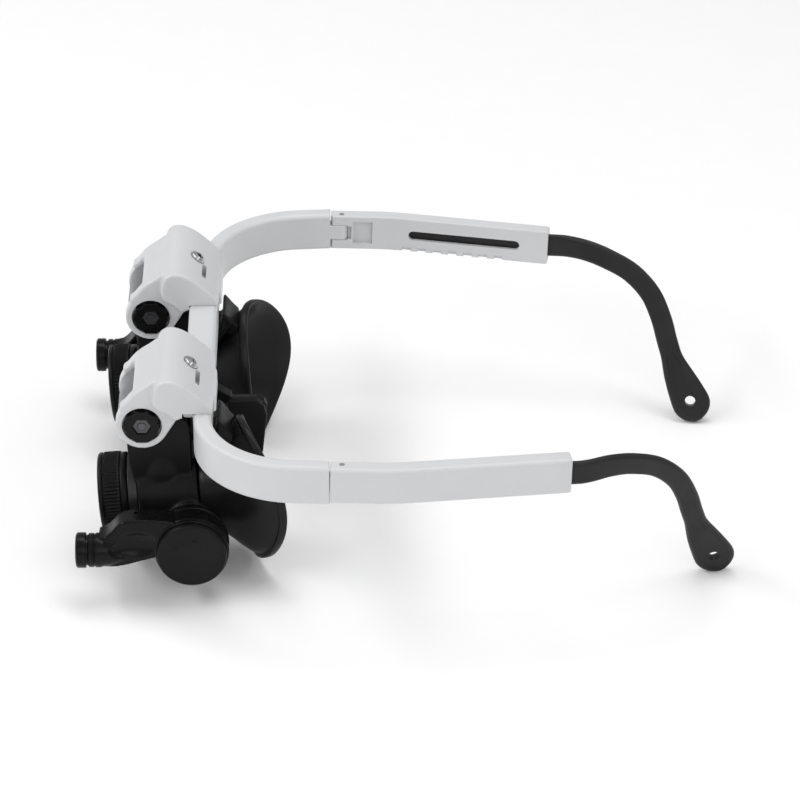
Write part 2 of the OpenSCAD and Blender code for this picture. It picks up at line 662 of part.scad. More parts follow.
frame_front();
nose_bracket();
nose_saddle();
nose_screws();
bracket(1);  // bracket_left
bracket(-1);  // bracket_right
friction_screw(1);  // friction_screw_left
friction_screw(-1);  // friction_screw_right
friction_shoe(1);  // friction_shoe_left
friction_shoe(-1);  // friction_shoe_right
flip_bolt(1);  // flip_bolt_left
flip_bolt(-1);  // flip_bolt_right
flip_knob(1);  // flip_knob_left
flip_knob(-1);  // flip_knob_right
flip_nut(1);  // flip_nut_left
flip_nut(-1);  // flip_nut_right
flip_barrel(1);  // flip_barrel_left
flip_barrel(-1);  // flip_barrel_right
loupe_carrier(1);  // loupe_carrier_left
loupe_carrier(-1);  // loupe_carrier_right
loupe_tube(1);  // loupe_tube_left
loupe_tube(-1);  // loupe_tube_right
tube_collar(1);  // tube_collar_left
tube_collar(-1);  // tube_collar_right
objective_ring(1);  // objective_ring_left
objective_ring(-1);  // objective_ring_right
objective_lens(1);  // objective_lens_left
objective_lens(-1);  // objective_lens_right
eye_lens(1);  // eye_lens_left
eye_lens(-1);  // eye_lens_right
eyecup(1);  // eyecup_left
eyecup(-1);  // eyecup_right
lamp_mount(1);  // lamp_mount_left
lamp_mount(-1);  // lamp_mount_right
lamp_screw(1);  // lamp_screw_left
lamp_screw(-1);  // lamp_screw_right
lamp_housing(1);  // lamp_housing_left
lamp_housing(-1);  // lamp_housing_right
lamp_head(1);  // lamp_head_left
lamp_head(-1);  // lamp_head_right
led(1);  // led_left
led(-1);  // led_right
battery_cells(1);  // battery_cells_left
battery_cells(-1);  // battery_cells_right
battery_cap(1);  // battery_cap_left
battery_cap(-1);  // battery_cap_right
battery_spring(1);  // battery_spring_left
battery_spring(-1);  // battery_spring_right
temple_sleeve(1);  // temple_sleeve_left
temple_sleeve(-1);  // temple_sleeve_right
sleeve_cover(1);  // sleeve_cover_left
sleeve_cover(-1);  // sleeve_cover_right
temple_tip(1);  // temple_tip_left
temple_tip(-1);  // temple_tip_right
hinge_pin(1);  // hinge_pin_left
hinge_pin(-1);  // hinge_pin_right
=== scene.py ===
"""Looks of the flip-up loupes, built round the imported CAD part."""

import json
import math

import bmesh
import bpy
from mathutils import Matrix, Vector


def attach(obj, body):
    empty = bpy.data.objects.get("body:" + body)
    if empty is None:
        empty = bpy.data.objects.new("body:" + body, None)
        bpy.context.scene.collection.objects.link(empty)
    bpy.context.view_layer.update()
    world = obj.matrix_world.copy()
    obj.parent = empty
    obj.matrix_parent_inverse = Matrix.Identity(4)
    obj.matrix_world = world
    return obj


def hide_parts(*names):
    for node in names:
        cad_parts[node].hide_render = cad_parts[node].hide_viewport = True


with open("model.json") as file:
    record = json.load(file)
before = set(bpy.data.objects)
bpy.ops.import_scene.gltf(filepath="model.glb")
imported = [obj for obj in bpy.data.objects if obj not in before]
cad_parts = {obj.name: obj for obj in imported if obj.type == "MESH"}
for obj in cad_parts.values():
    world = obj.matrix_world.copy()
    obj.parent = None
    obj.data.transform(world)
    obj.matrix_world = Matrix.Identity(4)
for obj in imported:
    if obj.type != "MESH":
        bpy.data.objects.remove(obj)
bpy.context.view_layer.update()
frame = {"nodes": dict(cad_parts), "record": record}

# Shapes are in millimetres, from the temple hinge seam and the middle of the bar: X runs to the
# wearer's left, Y backward and Z up. put() brings each piece into the frame, in metres on its floor.
MM = 0.001
MID_Y, FLOOR_Z = 21.7, -49.35
TO_ROW = Matrix.Scale(MM, 4) @ Matrix.Translation((0, -MID_Y, -FLOOR_Z))
FROM_ROW = TO_ROW.inverted()
SIDES = (("left", 1), ("right", -1))


# ---- Materials ----
MOTTLE_SIZE, GLOSS_SIZE = 0.012, 0.005
BRUSHED = (1, 14, 14)
BUMP_DEPTH, COAT_ROUGH = 0.00006, 0.12


def material(name, colour, rough, metal=0.0, grain=0.0, grain_size=0.0006, mottle=0.06,
             rough_spread=0.12, coat=0.0, specular=0.5, scratch=0.0, transmission=0.0):
    """A node material: mottled colour, uneven gloss, and a fine moulded grain or brushed scratches."""
    m = bpy.data.materials.new(name)
    m.use_nodes = True
    nodes, links = m.node_tree.nodes, m.node_tree.links
    nodes.clear()
    out = nodes.new("ShaderNodeOutputMaterial")
    shader = nodes.new("ShaderNodeBsdfPrincipled")
    links.new(shader.outputs[0], out.inputs[0])
    for socket, value in (("Metallic", metal), ("Coat Weight", coat), ("Coat Roughness", COAT_ROUGH),
                          ("Specular IOR Level", specular), ("Transmission Weight", transmission)):
        shader.inputs[socket].default_value = value
    place = nodes.new("ShaderNodeTexCoord").outputs["Object"]

    def noise(size, detail, stretch=(1, 1, 1)):
        mapping = nodes.new("ShaderNodeMapping")
        mapping.inputs["Scale"].default_value = stretch
        links.new(place, mapping.inputs["Vector"])
        texture = nodes.new("ShaderNodeTexNoise")
        texture.inputs["Scale"].default_value = 1 / size
        texture.inputs["Detail"].default_value = detail
        links.new(mapping.outputs[0], texture.inputs["Vector"])
        return texture.outputs["Fac"]

    def spread(value, low, high):
        """Stretches the middle of a noise over the range from low to high."""
        ramp = nodes.new("ShaderNodeMapRange")
        for socket, number in (("From Min", 0.35), ("From Max", 0.65), ("To Min", low), ("To Max", high)):
            ramp.inputs[socket].default_value = number
        links.new(value, ramp.inputs["Value"])
        return ramp.outputs[0]

    mix = nodes.new("ShaderNodeMix")
    mix.data_type = "RGBA"
    mix.inputs["A"].default_value = (*[c * (1 - mottle) for c in colour], 1)
    mix.inputs["B"].default_value = (*[min(1, c * (1 + mottle)) for c in colour], 1)
    links.new(spread(noise(MOTTLE_SIZE, 4), 0, 1), mix.inputs["Factor"])
    links.new(mix.outputs["Result"], shader.inputs["Base Color"])
    gloss = spread(noise(GLOSS_SIZE, 4), rough - rough_spread / 2, rough + rough_spread / 2)
    links.new(gloss, shader.inputs["Roughness"])
    bump = nodes.new("ShaderNodeBump")
    bump.inputs["Strength"].default_value = max(grain, scratch)
    bump.inputs["Distance"].default_value = BUMP_DEPTH
    links.new(noise(grain_size, 2, BRUSHED if scratch else (1, 1, 1)), bump.inputs["Height"])
    links.new(bump.outputs[0], shader.inputs["Normal"])
    return m


MATERIALS = {name: material(name, colour, rough, **finish) for name, colour, rough, finish in (
    ("white_plastic", (0.62, 0.625, 0.635), 0.38,
     dict(grain=0.1, grain_size=0.0009, mottle=0.012, coat=0.08)),
    ("black_plastic", (0.0055, 0.0055, 0.0058), 0.4,
     dict(grain=0.3, grain_size=0.00035, mottle=0.2, specular=0.15)),
    ("black_gloss", (0.0045, 0.0045, 0.0047), 0.26,
     dict(grain=0.15, grain_size=0.0004, mottle=0.2, specular=0.15)),
    ("soft_black", (0.006, 0.006, 0.0062), 0.35,
     dict(grain=0.08, grain_size=0.0003, mottle=0.18, specular=0.22)),
    ("tip_black", (0.013, 0.013, 0.0135), 0.42,
     dict(grain=0.3, grain_size=0.0004, mottle=0.15, specular=0.3)),
    ("steel", (0.55, 0.55, 0.56), 0.32, dict(metal=1, grain_size=0.0004, scratch=0.25)),
    ("dark_steel", (0.1, 0.1, 0.105), 0.34, dict(metal=1, grain_size=0.0004, scratch=0.3, mottle=0.12)),
    ("worn_steel", (0.085, 0.085, 0.09), 0.34, dict(metal=1, grain_size=0.0004, scratch=0.5, mottle=0.25)),
    ("chrome", (0.5, 0.5, 0.52), 0.2,
     dict(metal=1, grain_size=0.0004, scratch=0.1, mottle=0.03, rough_spread=0.06)),
    ("brass", (0.7, 0.5, 0.2), 0.3, dict(metal=1, grain_size=0.0004, scratch=0.2, mottle=0.08)),
    ("grey_metal", (0.24, 0.245, 0.255), 0.42,
     dict(metal=0.6, grain=0.35, grain_size=0.0002, mottle=0.1)),
    ("collar_metal", (0.03, 0.03, 0.031), 0.3,
     dict(metal=0.5, grain_size=0.0003, scratch=0.2, mottle=0.1)),
    ("glass", (0.7, 0.8, 0.92), 0.04,
     dict(grain=0.02, mottle=0.03, rough_spread=0.03, coat=0.2, transmission=1.0)),
    ("led_clear", (0.85, 0.87, 0.85), 0.14,
     dict(grain=0.03, mottle=0.02, rough_spread=0.05, coat=0.4, transmission=0.6)),
)}


# ---- Mesh building ----

def new_object(name, bm, crease=38):
    mesh = bpy.data.meshes.new(name)
    bmesh.ops.recalc_face_normals(bm, faces=bm.faces)
    bm.to_mesh(mesh)
    bm.free()
    obj = bpy.data.objects.new(name, mesh)
    bpy.context.scene.collection.objects.link(obj)
    shade(obj, crease)
    return obj


def shade(obj, crease):
    """Smooth shading, except at edges that turn by more than the crease, in degrees."""
    obj.data.polygons.foreach_set("use_smooth", [True] * len(obj.data.polygons))
    obj.data.set_sharp_from_angle(angle=math.radians(crease))


def level(obj):
    """Lets the large faces keep their own normals, so that flats look flat next to rounded edges."""
    obj.modifiers.new("level", "WEIGHTED_NORMAL").keep_sharp = True
    apply_modifiers(obj)


def apply_modifiers(obj):
    bpy.context.view_layer.update()
    evaluated = obj.evaluated_get(bpy.context.evaluated_depsgraph_get())
    done = bpy.data.meshes.new_from_object(evaluated)
    obj.modifiers.clear()
    obj.data = done


def add_rings(bm, rings, closed=False):
    """Joins rings of points, each a closed loop, into a capped skin, or into a hoop if closed."""
    made = [[bm.verts.new(p) for p in r] for r in rings]
    pairs = list(zip(made, made[1:])) + ([(made[-1], made[0])] if closed else [])
    for a, b in pairs:
        for i in range(len(a)):
            j = (i + 1) % len(a)
            bm.faces.new((a[i], a[j], b[j], b[i]))
    if not closed:
        bm.faces.new(made[0][::-1])
        bm.faces.new(made[-1])


def add_prism(bm, outline, x0, x1, place=Matrix()):
    """An outline of (y, z) points between two values of x."""
    add_rings(bm, [[place @ Vector((x, y, z)) for y, z in outline] for x in (x0, x1)])


def add_slab(bm, outline, z0, z1, place=Matrix()):
    """An outline of (x, y) points between two values of z."""
    add_rings(bm, [[place @ Vector((x, y, z)) for x, y in outline] for z in (z0, z1)])


def add_box(bm, low, high, place):
    outline = [(low[0], low[1]), (high[0], low[1]), (high[0], high[1]), (low[0], high[1])]
    add_slab(bm, outline, low[2], high[2], place)


def add_spindle(bm, profile, place, steps):
    """Round sections about place's Z, given as (distance along it, radius) pairs, with flat ends."""
    turn = 2 * math.pi / steps
    add_rings(bm, [[place @ Vector((r * math.cos(turn * i), r * math.sin(turn * i), z)) for i in range(steps)]
                   for z, r in profile])


def add_rod(bm, r, x0, x1, y, z, steps=64):
    add_spindle(bm, [(x0, r), (x1, r)], along_x(y, z), steps)


def add_ball(bm, centre, radii):
    made = bmesh.ops.create_uvsphere(bm, u_segments=32, v_segments=16, radius=1)["verts"]
    bmesh.ops.transform(bm, matrix=Matrix.Translation(centre) @ Matrix.Diagonal((*radii, 1)), verts=made)


def along_x(y, z):
    """A place whose Z runs along X."""
    return Matrix.Translation((0, y, z)) @ Matrix.Rotation(math.pi / 2, 4, "Y")


def along_y(x, z):
    """A place whose Z runs along Y."""
    return Matrix.Translation((x, 0, z)) @ Matrix.Rotation(-math.pi / 2, 4, "X")


def turned(name, profile, place, steps, crease=35, radius=None):
    """A hoop turned about place's Z from a closed profile of (distance along it, radius) points.
    radius(distance, r, angle), if it is given, corrects each radius."""
    rings = []
    for i in range(steps):
        a = 2 * math.pi * i / steps
        points = [(z, radius(z, r, a)) for z, r in profile] if radius else profile
        rings.append([place @ Vector((r * math.cos(a), r * math.sin(a), z)) for z, r in points])
    bm = bmesh.new()
    add_rings(bm, rings, closed=True)
    return new_object(name, bm, crease)


def between(a, b, c, d, t):
    """The point at t, from 0 to 1, on a smooth curve from b to c, with a before them and d after."""
    return 0.5 * ((2 * b) + (c - a) * t + (2 * a - 5 * b + 4 * c - d) * t * t
                  + (3 * b - 3 * c + d - a) * t ** 3)


def curve(points, steps=5):
    """A smooth closed outline through the points. A point with a third value stays a corner."""
    n = len(points)
    out = []
    for i in range(n):
        a, b, c, d = (Vector(points[k % n][:2]) for k in (i - 1, i, i + 1, i + 2))
        if len(points[i]) > 2:
            a = 2 * b - c
        if len(points[(i + 1) % n]) > 2:
            d = 2 * c - b
        out += [tuple(between(a, b, c, d, s / steps)) for s in range(steps)]
    return out


def spline(points, steps):
    """A smooth open line through the points."""
    pts = [Vector(p) for p in points]
    pts = [pts[0]] + pts + [pts[-1]]
    out = []
    for a, b, c, d in zip(pts, pts[1:], pts[2:], pts[3:]):
        out += [between(a, b, c, d, s / steps) for s in range(steps)]
    return out + [pts[-1]]


def arc(u, v, r, start, end, steps=6):
    """Points of an arc about (u, v), its angles in degrees."""
    angles = [math.radians(start + (end - start) * k / steps) for k in range(steps + 1)]
    return [(u + r * math.cos(a), v + r * math.sin(a)) for a in angles]


def round_section(w, h, r, steps=5, inner=None):
    """An oblong with round corners, of radius inner on its low side if that is given."""
    pts = []
    for k, (su, sv) in enumerate(((1, 1), (-1, 1), (-1, -1), (1, -1))):
        c = inner if inner and su < 0 else r
        pts += arc(su * (w / 2 - c), sv * (h / 2 - c), c, 90 * k, 90 * (k + 1), steps)
    return pts


def smooth(t):
    """Eases from 0 to 1."""
    t = max(0.0, min(1.0, t))
    return t * t * (3 - 2 * t)


def melt(obj, voxel, passes):
    """Fuses overlapping solids into one skin and rounds its edges."""
    m = obj.modifiers.new("fuse", "REMESH")
    m.mode = "VOXEL"
    m.voxel_size = voxel
    s = obj.modifiers.new("soften", "SMOOTH")
    s.factor = 0.5
    s.iterations = passes
    apply_modifiers(obj)


def cut(obj, cutter):
    """Takes the cutter's solids out of the object."""
    tool = new_object("cutter", cutter)
    b = obj.modifiers.new("cut", "BOOLEAN")
    b.operation = "DIFFERENCE"
    b.solver = "EXACT"
    b.use_self = True
    b.object = tool
    apply_modifiers(obj)
    bpy.data.objects.remove(tool)


def bevel(obj, width, angle=50):
    """Rounds the edges that turn by more than the angle, in degrees."""
    b = obj.modifiers.new("edge", "BEVEL")
    b.width = width
    b.segments = 2
    b.limit_method = "ANGLE"
    b.angle_limit = math.radians(angle)
    b.use_clamp_overlap = True
    apply_modifiers(obj)


def from_node(name, node):
    """A new object with a copy of the CAD node's skin."""
    bm = bmesh.new()
    bm.from_mesh(frame["nodes"][node].data)
    bmesh.ops.transform(bm, matrix=FROM_ROW, verts=bm.verts)
    bmesh.ops.remove_doubles(bm, verts=bm.verts, dist=0.002)
    bmesh.ops.dissolve_limit(bm, angle_limit=math.radians(0.4), verts=bm.verts, edges=bm.edges)
    return new_object(name, bm)


def put(obj, body, slot, *nodes, finish=None):
    """Brings a piece into the frame, gives it its material, hangs it on its body and hides the CAD nodes it
    replaces. It takes its slot's material by default.
    """
    obj.data.transform(TO_ROW)
    level(obj)
    obj.data.materials.clear()
    obj.data.materials.append(MATERIALS[finish or slot])
    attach(obj, body)
    if nodes:
        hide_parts(*nodes)


def copy_of(obj, name, change):
    other = bpy.data.objects.new(name, obj.data.copy())
    bpy.context.scene.collection.objects.link(other)
    other.data.transform(change)
    return other


def put_pair(left, name, body, slot, node=None, finish=None):
    """Puts a left-hand piece and its mirror image. Braces in a name stand for the side."""
    right = copy_of(left, name.format("right"), Matrix.Scale(-1, 4, (1, 0, 0)))
    right.data.flip_normals()
    left.name = name.format("left")
    for obj, side in ((left, "left"), (right, "right")):
        nodes = [node.format(side)] if node else []
        put(obj, body.format(side), slot, *nodes, finish=finish)


# ---- Frame ----
SEAM_X = 73.9
BAR_Y, BAND_Z = -35.5, 0.55
BAND_T, BAND_H, BAND_EDGE = 5.0, 11.9, 1.3
CORNER_R, CORNER_TURN = 27.3, math.radians(86.4)
LEAN = math.pi / 2 - CORNER_TURN
CORNER_Y = BAR_Y + CORNER_R
SIDE_LENGTH = -(CORNER_Y - CORNER_R * math.sin(LEAN)) / math.cos(LEAN)
CORNER_X = SEAM_X - CORNER_R * math.cos(LEAN) - SIDE_LENGTH * math.sin(LEAN)
SEAM_GAP = 0.1
BAR_STEPS, CORNER_STEPS, SIDE_STEPS = 9, 40, 8

TEMPLE_Z, TEMPLE_DROP = 0.5, math.radians(1.7)
PIN_X, PIN_Y = -0.7, 3.2
TONGUE_R, TONGUE_HALF, TONGUE_ROOT = 1.9, 2.3, -2.4

# The bar between the brackets, with its front ledge, a hair outside the band that runs through it
RAIL = (arc(-34.3, 5.2, 1.32, 0, 90) + arc(-40.0, 5.52, 1.0, 90, 180) + arc(-40.4, 2.1, 0.6, 180, 270, 4)
        + [(-38.02, 1.5)] + arc(-36.7, -4.1, 1.32, 180, 270) + arc(-34.3, -4.1, 1.32, 270, 360))
RAIL_HALF = 40


def make_frame_band():
    """The bar, the corners and the sides as far as the hinge seams, as one swept oblong."""
    stations = [(Vector((CORNER_X * s / BAR_STEPS, BAR_Y)), 0.0) for s in range(BAR_STEPS)]
    for s in range(CORNER_STEPS + 1):
        a = CORNER_TURN * s / CORNER_STEPS
        stations.append((Vector((CORNER_X + CORNER_R * math.sin(a), CORNER_Y - CORNER_R * math.cos(a))), a))
    end = stations[-1][0]
    run = Vector((math.cos(CORNER_TURN), math.sin(CORNER_TURN)))
    for s in range(1, SIDE_STEPS + 1):
        p = end + run * SIDE_LENGTH * s / SIDE_STEPS
        p.y = min(p.y, -SEAM_GAP)
        stations.append((p, CORNER_TURN if s < SIDE_STEPS else math.pi / 2))
    section = round_section(BAND_T, BAND_H, BAND_EDGE)
    rings = []
    for p, a in stations:
        out = Vector((math.sin(a), -math.cos(a)))
        rings.append([Vector((p.x + out.x * u, p.y + out.y * u, BAND_Z + w)) for u, w in section])
    other_half = [[Vector((-v.x, v.y, v.z)) for v in r] for r in rings[:0:-1]]
    bm = bmesh.new()
    add_rings(bm, other_half + rings)
    obj = new_object("frame_band", bm)
    bevel(obj, 0.25)
    return obj


def make_rail():
    bm = bmesh.new()
    add_prism(bm, RAIL, -RAIL_HALF, RAIL_HALF)
    return new_object("frame_rail", bm)


def temple_place(side):
    """The hinge seam's middle, with Y along the temple's first stretch."""
    return Matrix.Translation((SEAM_X * side, 0, TEMPLE_Z)) @ Matrix.Rotation(-TEMPLE_DROP, 4, "X")


def make_hinge_tongues():
    """The frame's two tongues behind the seams, which the temples turn on."""
    outline = [(TONGUE_ROOT, -TONGUE_R)] + arc(PIN_Y, 0, TONGUE_R, -90, 90, 16) + [(TONGUE_ROOT, TONGUE_R)]
    bm = bmesh.new()
    for side in (1, -1):
        tongue = [(side * PIN_X + u, y) for y, u in outline]
        add_slab(bm, tongue, -TONGUE_HALF, TONGUE_HALF, temple_place(side))
    obj = new_object("frame_tongues", bm)
    bevel(obj, 0.2)
    return obj


def make_nose_pad_seat():
    """The flat boss under the bar that the nose bracket is screwed to."""
    bm = bmesh.new()
    add_prism(bm, [(-37.5, -6.6), (-33.5, -6.6), (-33.5, -5), (-37.5, -5)], -6, 6)
    obj = new_object("frame_nose_pad_seat", bm)
    bevel(obj, 0.3)
    return obj


put(make_frame_band(), "frame", "white_plastic", "frame_front")
for make in (make_rail, make_hinge_tongues, make_nose_pad_seat):
    put(make(), "frame", "white_plastic")


# ---- Brackets ----
BRACKET_X = 31
FLIP_Y, FLIP_Z = -52.5, 0.9
EAR_OUT, EAR_IN, EAR_R = 12.5, 8.8, 7.4
BLOCK_HALF, BARREL_ROOM, BOLT_ROOM = 15.9, 7.3, 1.2
KNOB_ROOM, KNOB_DEPTH = 5.6, 2.3
SCREW_Y, SCREW_Z, SCREW_SEAT = -38.7, 14.1, 0.75
JAW_TOP = 6.57

BLOCK = curve([(-48.8, 8.6), (-48.9, 12.4), (-47.9, 15.4), (-45.6, 16.75), (-42.6, 16.2), (-39.4, 14.4),
               (-36.2, 11.6), (-33.9, 9.2), (-32.6, 7.4, 1), (-32.6, 5.2, 1), (-41.2, 5.0, 1), (-42.0, 4.6),
               (-43.2, 4.3), (-45, 6)])
WEB = curve([(-58.4, 5.4), (-56.8, 8.2), (-54.4, 11), (-51, 13.4), (-47.6, 15.3), (-42, 13, 1), (-41.3, 6, 1),
             (-42.1, 3.6, 1), (-46.2, -3, 1), (-52, -1, 1)])
ROOF = curve([(-54.7, 6.6, 1), (-54.8, 10.2), (-51.4, 13), (-47.6, 15.2), (-42, 13, 1), (-41.3, 6, 1),
              (-42.1, 3.6, 1), (-46, 3.6, 1), (-50, 4, 1)])
LIP = [(-33.2, 8.2), (-32.5, 7.8), (-31.9, 7.2), (-31.8, 2.6), (-32.9, 2.6)]


def make_bracket():
    """The moulded block on the bar, with its two ears and roof, round x = 0."""
    bm = bmesh.new()
    add_prism(bm, BLOCK, -BLOCK_HALF, BLOCK_HALF)
    add_prism(bm, ROOF, -EAR_IN - 0.5, EAR_IN + 0.5)
    for x in (-EAR_OUT, EAR_IN):
        add_prism(bm, WEB, x, x + EAR_OUT - EAR_IN)
        add_rod(bm, EAR_R, x, x + EAR_OUT - EAR_IN, FLIP_Y, FLIP_Z)
    add_prism(bm, LIP, -8, 8)
    obj = new_object("bracket", bm)
    melt(obj, 0.3, 8)

    rooms = bmesh.new()
    add_prism(rooms, [(-41.06, -8), (-41.06, JAW_TOP), (-32.94, JAW_TOP), (-32.94, -8)], -20, 20)
    for x in (-20, 8.3):
        add_prism(rooms, [(-33.5, -8), (-33.5, JAW_TOP), (-30, JAW_TOP), (-30, -8)], x, x + 11.7)
    add_rod(rooms, BARREL_ROOM, -EAR_IN, EAR_IN, FLIP_Y, FLIP_Z, 96)
    add_rod(rooms, BOLT_ROOM, -20, 20, FLIP_Y, FLIP_Z, 32)
    cut(obj, rooms)

    rooms = bmesh.new()
    add_rod(rooms, KNOB_ROOM, EAR_OUT - KNOB_DEPTH, 20, FLIP_Y, FLIP_Z, 96)
    add_rod(rooms, KNOB_ROOM, -20, -EAR_OUT + KNOB_DEPTH, FLIP_Y, FLIP_Z, 96)
    flip = Vector((0, FLIP_Y, FLIP_Z))
    lift = Vector((0, SCREW_Y, SCREW_Z)) - flip
    screw = Matrix.Translation(flip) @ lift.to_track_quat("Z", "Y").to_matrix().to_4x4()
    add_spindle(rooms, [(lift.length - SCREW_SEAT, 2.45), (lift.length + 6, 2.6)], screw, 48)
    add_slab(rooms, round_section(7.6, 1.2, 0.55, 4), 9, 19, Matrix.Translation((5.3, SCREW_Y + 1.8, 0)))
    cut(obj, rooms)
    bevel(obj, 0.22)
    shade(obj, 42)
    return obj


bracket = make_bracket()
for name, side in SIDES:
    shell = copy_of(bracket, "bracket_" + name + "_shell", Matrix.Translation((BRACKET_X * side, 0, 0)))
    put(shell, "bracket_body_" + name, "white_plastic", "bracket_" + name)
bpy.data.objects.remove(bracket)


# ---- Loupes ----
LOUPE_X, LOUPE_Y, LOUPE_Z = 31, -45, -27.2
DECLINE = math.radians(4.7)

CUP_BACK, CUP_START = -8.2, 12.0
CUP_UP, CUP_WIDE, CUP_SHIFT = 22.1, 16.6, 2.4
NECK_R, NECK_BACK, CUP_WALL = 9.58, -12.4, 1.4
RIM_NASAL, RIM_WING = -21.8, -11.0
FLANGE, SHOULDER, LIP_DEPTH = 2.4, 0.5, 0.9
CUP_STEPS, CUP_ROWS = 120, 12

RIBS, RIB_DEPTH, RIB_START, RIB_END = 72, 0.34, 14.3, 18.7


def loupe_place(side):
    """Z runs forward along the loupe's axis and Y runs up, from the loupe's middle."""
    middle = Matrix.Translation((LOUPE_X * side, LOUPE_Y, LOUPE_Z))
    return middle @ Matrix.Rotation(math.pi / 2 + DECLINE, 4, "X")


def cup_rim(a):
    """How far back the cup's rim reaches, at an angle from the temple side."""
    return RIM_NASAL + RIM_WING * ((1 + math.cos(a)) / 2) ** 3.1


def cup_point(spread, z, a, inset=0.0):
    """A point of the cup's wall, from its round neck at spread 0 to its oval rim at 1."""
    up = CUP_START + (CUP_UP - CUP_START) * spread - inset
    wide = CUP_START + (CUP_WIDE - CUP_START) * spread - inset
    return Vector((CUP_SHIFT * spread + max(NECK_R, wide) * math.cos(a), max(NECK_R, up) * math.sin(a), z))


def cup_ring(a):
    """The cup's section at an angle: its neck, outer wall, flange, rounded rim and inner wall."""
    rim = cup_rim(a)
    depth = CUP_BACK - rim
    flange = min(FLANGE, depth * 0.3)
    ring = [Vector((r * math.cos(a), r * math.sin(a), z)) for r, z in
            ((NECK_R, CUP_BACK), (CUP_START - 0.6, CUP_BACK), (CUP_START, CUP_BACK - SHOULDER))]
    for k in range(1, CUP_ROWS + 1):
        t = k / CUP_ROWS
        z = CUP_BACK - SHOULDER - (depth - flange - SHOULDER) * t
        ring.append(cup_point(smooth(t * 0.86) * 0.93, z, a, 0.15 * t))
    ring.append(cup_point(0.97, rim + flange * 0.93, a))
    for z, inset in ((flange * 0.72, 0.03), (flange * 0.35, 0.1), (0.25, 0.22), (0.04, 0.5), (0.02, 0.9),
                     (0.3, 1.25)):
        ring.append(cup_point(1.0, rim + z, a, inset))
    for k in range(1, CUP_ROWS + 1):
        z = NECK_BACK - LIP_DEPTH + (rim + 2 * LIP_DEPTH - NECK_BACK) * (1 - k / CUP_ROWS)
        ring.append(cup_point(smooth((CUP_BACK - z) / depth * 0.9) * 0.97, z, a, CUP_WALL))
    ring.append(Vector((NECK_R * math.cos(a), NECK_R * math.sin(a), NECK_BACK)))
    return ring


def make_eyecup():
    """An oval cup with a flange round its rim, which reaches back on the temple side."""
    bm = bmesh.new()
    add_rings(bm, [cup_ring(2 * math.pi * i / CUP_STEPS) for i in range(CUP_STEPS)], closed=True)
    bmesh.ops.transform(bm, matrix=loupe_place(1), verts=bm.verts)
    return new_object("eyecup", bm, 50)


def make_objective(side, name):
    """The knurled focusing ring, with a bevelled front bezel."""
    profile = [(12.15, 9.6), (12.15, 11.1), (12.5, 11.45), (13.9, 11.45), (14.05, 11.3), (14.25, 11.75),
               (14.45, 11.8)]
    profile += [(z / 4, 11.8) for z in range(59, 75)]
    profile += [(18.75, 11.75), (18.95, 11.35), (19.15, 11.35), (19.3, 11.75), (20.0, 11.75), (20.4, 11.35),
                (20.4, 10.0), (19.9, 9.3), (18.3, 9.2), (18.2, 7.9), (17.85, 7.9), (17.8, 9.6)]

    def ribbed(z, r, a):
        if not (RIB_START < z < RIB_END and r > 11):
            return r
        fade = min(1, (z - RIB_START) / 0.5, (RIB_END - z) / 0.5)
        return r - RIB_DEPTH * fade * (0.5 - 0.5 * math.cos(RIBS * a)) ** 0.7
    return turned(name, profile, loupe_place(side), RIBS * 8, 50, ribbed)


def make_carrier(side, name, node):
    """The moulded block between the hinge barrel, the tube and the lamp, with soft fillets."""
    obj = from_node(name, node)
    bm = bmesh.new()
    bm.from_mesh(obj.data)
    add_ball(bm, (LOUPE_X * side, -47.5, -20), (9.7, 9.6, 15))
    add_rod(bm, 7.6, *sorted((35 * side, 44.3 * side)), -39.6, -31.8)
    shelf = [(-31.8, -2.6), (-30.8, -2.4), (-27.2, -6.4), (-27.2, -9), (-31.8, -9)]
    add_prism(bm, shelf, *sorted((25.5 * side, 37.2 * side)))
    bm.to_mesh(obj.data)
    bm.free()
    melt(obj, 0.32, 16)
    rooms = bmesh.new()
    add_rod(rooms, 7.04, *sorted((18 * side, 44 * side)), FLIP_Y, FLIP_Z, 96)
    tube_room = [(-30, 9.53), (9, 9.53), (9.2, 11.13), (12.2, 11.13), (12.2, 11.9), (30, 11.9)]
    add_spindle(rooms, tube_room, loupe_place(side), 96)
    cut(obj, rooms)
    shade(obj, 50)
    return obj


put_pair(make_eyecup(), "eyecup_{}_skin", "loupe_{}", "soft_black", "eyecup_{}")
for name, side in SIDES:
    ring = make_objective(side, "objective_" + name + "_ring")
    put(ring, "objective_" + name, "black_plastic", "objective_ring_" + name)
for name, side in SIDES:
    carrier = make_carrier(side, "carrier_" + name, "loupe_carrier_" + name)
    put(carrier, "loupe_" + name, "black_plastic", "loupe_carrier_" + name)


# ---- Lamps ----
LAMP_Y, LAMP_Z, LAMP_R = -39.0, -32.3, 10.4
HOUSING_X, HOUSING_END, HOUSING_WALL = 50.2, 57.5, 8.5
HEAD_X, HEAD_Z, HEAD_FRONT = 55.3, -32.5, -72.3
HEAD_ROOM = 2.6
# The arm's side view, its heights taken from the drum's axis
ARM = curve([(-40, 8.2, 1), (-44, 9.6), (-49, 10.3), (-55.5, 10.2), (-58.8, 9.4), (-61.4, 6.6), (-63.2, 5.0),
             (-65.0, 4.6, 1), (-65.0, -4.5, 1), (-61, -4.8), (-57, -4.1), (-53, -2.9), (-48, -1.6),
             (-40, 0, 1)])
DRUM_AXIS, HEAD_AXIS = along_x(LAMP_Y, LAMP_Z), along_y(HEAD_X, HEAD_Z)


